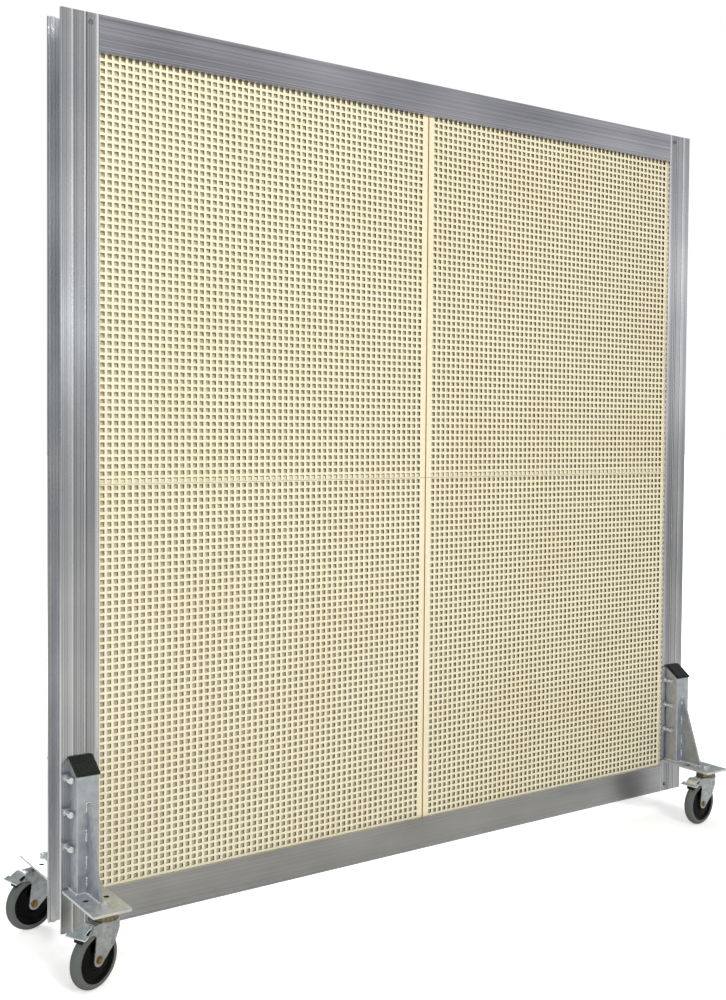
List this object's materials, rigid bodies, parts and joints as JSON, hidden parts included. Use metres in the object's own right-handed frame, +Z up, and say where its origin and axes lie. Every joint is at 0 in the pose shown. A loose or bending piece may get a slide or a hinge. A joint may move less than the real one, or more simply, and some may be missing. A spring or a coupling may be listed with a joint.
{
  "type": "rolling partition",
  "caption": "Tall rolling screen: an aluminium frame holds cream panels with square holes, and braked swivel castors stand under brackets bolted to its side posts.",
  "frame": {"origin": "on the floor, under the middle of the whole object's outline, with its castors as they stand in the picture", "axes": "+X runs along the partition to its right-hand post as seen from the front, +Y from the front to the back, and +Z up"},
  "size_m": [2.0238, 0.4742, 2.062],
  "materials": {
    "post_aluminium": "mill-finish extrusion with fine lengthwise lines",
    "rail_aluminium": "brushed lengthwise",
    "bar_aluminium": "cream coated",
    "absorber_fleece": "soft pale fleece",
    "cream_panel": "satin cream",
    "bright_fastener": "bright zinc",
    "bearing_steel": "polished",
    "zinc_foot": "bluish zinc plating, satin",
    "zinc_castor": "zinc-plated pressing",
    "black_cap": "glossy black",
    "yellow_axle": "yellow passivated",
    "black_rim": "glossy black",
    "grey_tyre": "satin grey",
    "bright_pedal": "bright zinc",
    "black_rubber": "matt"
  },
  "bodies": {
    "partition": {"left_post": "post_aluminium", "right_post": "post_aluminium", "top_rail": "rail_aluminium", "bottom_rail": "rail_aluminium", "mullion": "bar_aluminium", "transom": "bar_aluminium", "absorber_core": "absorber_fleece", "front_top_left_panel": "cream_panel", "front_top_right_panel": "cream_panel", "front_bottom_left_panel": "cream_panel", "front_bottom_right_panel": "cream_panel", "rear_top_left_panel": "cream_panel", "rear_top_right_panel": "cream_panel", "rear_bottom_left_panel": "cream_panel", "rear_bottom_right_panel": "cream_panel", "corner_screws": "bright_fastener", "bracket_bolts": "bright_fastener", "castor_heads": "zinc_castor", "castor_bolts": "bright_fastener", "castor_balls": "bearing_steel", "front_left_foot_plate": "zinc_foot", "front_left_bracket": "zinc_foot", "front_left_gusset": "zinc_foot", "front_left_end_cap": "black_cap", "front_right_foot_plate": "zinc_foot", "front_right_bracket": "zinc_foot", "front_right_gusset": "zinc_foot", "front_right_end_cap": "black_cap", "rear_left_foot_plate": "zinc_foot", "rear_left_bracket": "zinc_foot", "rear_left_gusset": "zinc_foot", "rear_left_end_cap": "black_cap", "rear_right_foot_plate": "zinc_foot", "rear_right_bracket": "zinc_foot", "rear_right_gusset": "zinc_foot", "rear_right_end_cap": "black_cap"},
    "front_left_swivel": {"front_left_castor_fork": "zinc_castor", "front_left_castor_axle": "yellow_axle"},
    "front_left_wheel": {"front_left_castor_rim": "black_rim", "front_left_castor_tyre": "grey_tyre"},
    "front_left_brake": {"front_left_castor_pedal": "bright_pedal", "front_left_brake_block": "black_rubber"},
    "front_right_swivel": {"front_right_castor_fork": "zinc_castor", "front_right_castor_axle": "yellow_axle"},
    "front_right_wheel": {"front_right_castor_rim": "black_rim", "front_right_castor_tyre": "grey_tyre"},
    "front_right_brake": {"front_right_castor_pedal": "bright_pedal", "front_right_brake_block": "black_rubber"},
    "rear_left_swivel": {"rear_left_castor_fork": "zinc_castor", "rear_left_castor_axle": "yellow_axle"},
    "rear_left_wheel": {"rear_left_castor_rim": "black_rim", "rear_left_castor_tyre": "grey_tyre"},
    "rear_left_brake": {"rear_left_castor_pedal": "bright_pedal", "rear_left_brake_block": "black_rubber"},
    "rear_right_swivel": {"rear_right_castor_fork": "zinc_castor", "rear_right_castor_axle": "yellow_axle"},
    "rear_right_wheel": {"rear_right_castor_rim": "black_rim", "rear_right_castor_tyre": "grey_tyre"},
    "rear_right_brake": {"rear_right_castor_pedal": "bright_pedal", "rear_right_brake_block": "black_rubber"}
  },
  "joints": [
    {"name": "front_left_swivel_turn", "type": "hinge", "parent": "partition", "child": "front_left_swivel", "pos_m": [-0.91713, -0.17494, 0.138], "axis": [0, 0, 1], "continuous": true},
    {"name": "front_left_wheel_spin", "type": "hinge", "parent": "front_left_swivel", "child": "front_left_wheel", "pos_m": [-0.94794, -0.18931, 0.0625], "axis": [0.4226, -0.9063, 0], "continuous": true},
    {"name": "front_left_brake_press", "type": "hinge", "parent": "front_left_swivel", "child": "front_left_brake", "pos_m": [-0.96426, -0.19692, 0.1305], "axis": [0.4226, -0.9063, 0], "range_deg": [0, 4]},
    {"name": "front_right_swivel_turn", "type": "hinge", "parent": "partition", "child": "front_right_swivel", "pos_m": [0.96887, -0.17494, 0.138], "axis": [0, 0, 1], "continuous": true},
    {"name": "front_right_wheel_spin", "type": "hinge", "parent": "front_right_swivel", "child": "front_right_wheel", "pos_m": [0.93512, -0.17909, 0.0625], "axis": [0.1219, -0.9925, 0], "continuous": true},
    {"name": "front_right_brake_press", "type": "hinge", "parent": "front_right_swivel", "child": "front_right_brake", "pos_m": [0.91726, -0.18128, 0.1305], "axis": [0.1219, -0.9925, 0], "range_deg": [0, 4]},
    {"name": "rear_left_swivel_turn", "type": "hinge", "parent": "partition", "child": "rear_left_swivel", "pos_m": [-0.91713, 0.19406, 0.138], "axis": [0, 0, 1], "continuous": true},
    {"name": "rear_left_wheel_spin", "type": "hinge", "parent": "rear_left_swivel", "child": "rear_left_wheel", "pos_m": [-0.95039, 0.18699, 0.0625], "axis": [0.2079, -0.9781, 0], "continuous": true},
    {"name": "rear_left_brake_press", "type": "hinge", "parent": "rear_left_swivel", "child": "rear_left_brake", "pos_m": [-0.96799, 0.18325, 0.1305], "axis": [0.2079, -0.9781, 0], "range_deg": [0, 4]},
    {"name": "rear_right_swivel_turn", "type": "hinge", "parent": "partition", "child": "rear_right_swivel", "pos_m": [0.96887, 0.19406, 0.138], "axis": [0, 0, 1], "continuous": true},
    {"name": "rear_right_wheel_spin", "type": "hinge", "parent": "rear_right_swivel", "child": "rear_right_wheel", "pos_m": [0.93539, 0.18815, 0.0625], "axis": [0.1736, -0.9848, 0], "continuous": true},
    {"name": "rear_right_brake_press", "type": "hinge", "parent": "rear_right_swivel", "child": "rear_right_brake", "pos_m": [0.91766, 0.18503, 0.1305], "axis": [0.1736, -0.9848, 0], "range_deg": [0, 4]}
  ]
}
